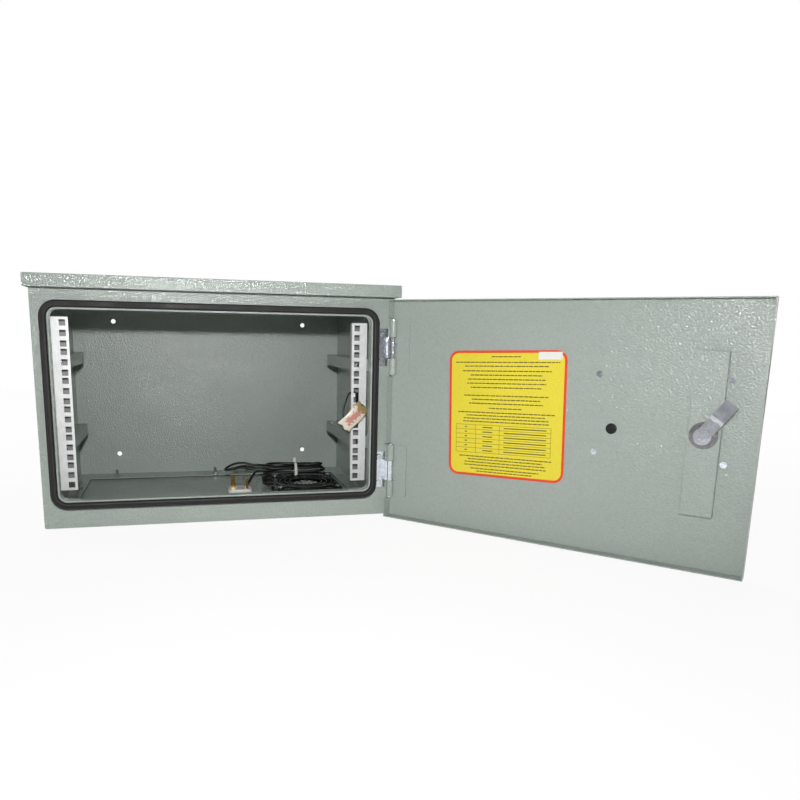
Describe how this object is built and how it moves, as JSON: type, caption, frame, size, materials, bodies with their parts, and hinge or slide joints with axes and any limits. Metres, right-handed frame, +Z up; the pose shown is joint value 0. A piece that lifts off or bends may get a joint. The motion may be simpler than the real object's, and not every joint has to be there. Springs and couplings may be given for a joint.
{
  "type": "outdoor wall-mount equipment cabinet",
  "caption": "Painted sheet-steel wall cabinet with an overhanging roof, rack rails, a floor fan, and a hinged door with a cam lock, standing open.",
  "frame": {"origin": "middle of the underside of the cabinet's body", "axes": "+X to the right seen from the front, +Y from the door towards the wall, +Z up"},
  "size_m": [0.9064, 0.8441, 0.3785],
  "materials": {
    "coated_steel": "grey-green hammertone powder coat",
    "galvanised_steel": "bright galvanised",
    "zinc_plated_steel": "bright zinc plate",
    "chrome": "bright chrome plate",
    "seal_rubber": "matt black",
    "black_plastic": "fine matt",
    "silver_film": "brushed film",
    "cord_rubber": "satin black",
    "white_plastic": "smooth",
    "brass": "bright",
    "yellow_paper": "satin"
  },
  "bodies": {
    "cabinet": {"body_wrap": "coated_steel", "front_frame": "coated_steel", "back_panel": "coated_steel", "roof_cap": "coated_steel", "floor_plate": "coated_steel", "plate_gasket": "seal_rubber", "door_seal": "seal_rubber", "rack_rail_left": "galvanised_steel", "rack_rail_right": "galvanised_steel", "rail_bracket_left_lower": "coated_steel", "rail_bracket_left_upper": "coated_steel", "rail_bracket_right_lower": "coated_steel", "rail_bracket_right_upper": "coated_steel", "rail_screws": "zinc_plated_steel", "hinge_bracket_lower": "zinc_plated_steel", "hinge_bracket_upper": "zinc_plated_steel", "hinge_screws": "zinc_plated_steel", "floor_studs": "zinc_plated_steel", "fan_frame": "black_plastic", "fan_guard": "black_plastic", "fan_screws": "zinc_plated_steel", "fan_lead": "cord_rubber", "cord_loop": "cord_rubber", "plug_lead": "cord_rubber", "cord_hank": "cord_rubber", "hank_tie": "white_plastic", "plug_body": "white_plastic", "plug_pins": "brass", "key_packet": "white_plastic", "door_keys": "brass", "key_tie": "black_plastic"},
    "rotor": {"fan_rotor": "black_plastic", "hub_label": "silver_film"},
    "door": {"door_panel": "coated_steel", "lock_box": "coated_steel", "lock_barrel": "chrome", "lock_nut": "zinc_plated_steel", "hinge_leaf_lower": "coated_steel", "hinge_leaf_upper": "coated_steel", "hinge_pins": "zinc_plated_steel", "door_bolts": "zinc_plated_steel", "hole_plug": "black_plastic", "door_label": "yellow_paper"},
    "cam": {"lock_cam": "zinc_plated_steel", "cam_screw": "zinc_plated_steel"}
  },
  "joints": [
    {"name": "door_swing", "type": "hinge", "parent": "cabinet", "child": "door", "pos_m": [0.2674, -0.2263, 0.18], "axis": [0, 0, 1], "range_deg": [-132, 18]},
    {"name": "cam_turn", "type": "hinge", "parent": "door", "child": "cam", "pos_m": [0.57257, -0.58585, 0.184], "axis": [-0.7431, -0.6691, 0], "range_deg": [-55, 35]},
    {"name": "fan_spin", "type": "hinge", "parent": "cabinet", "child": "rotor", "pos_m": [0.157, -0.044, 0.015], "axis": [0, 0, 1], "continuous": true}
  ]
}
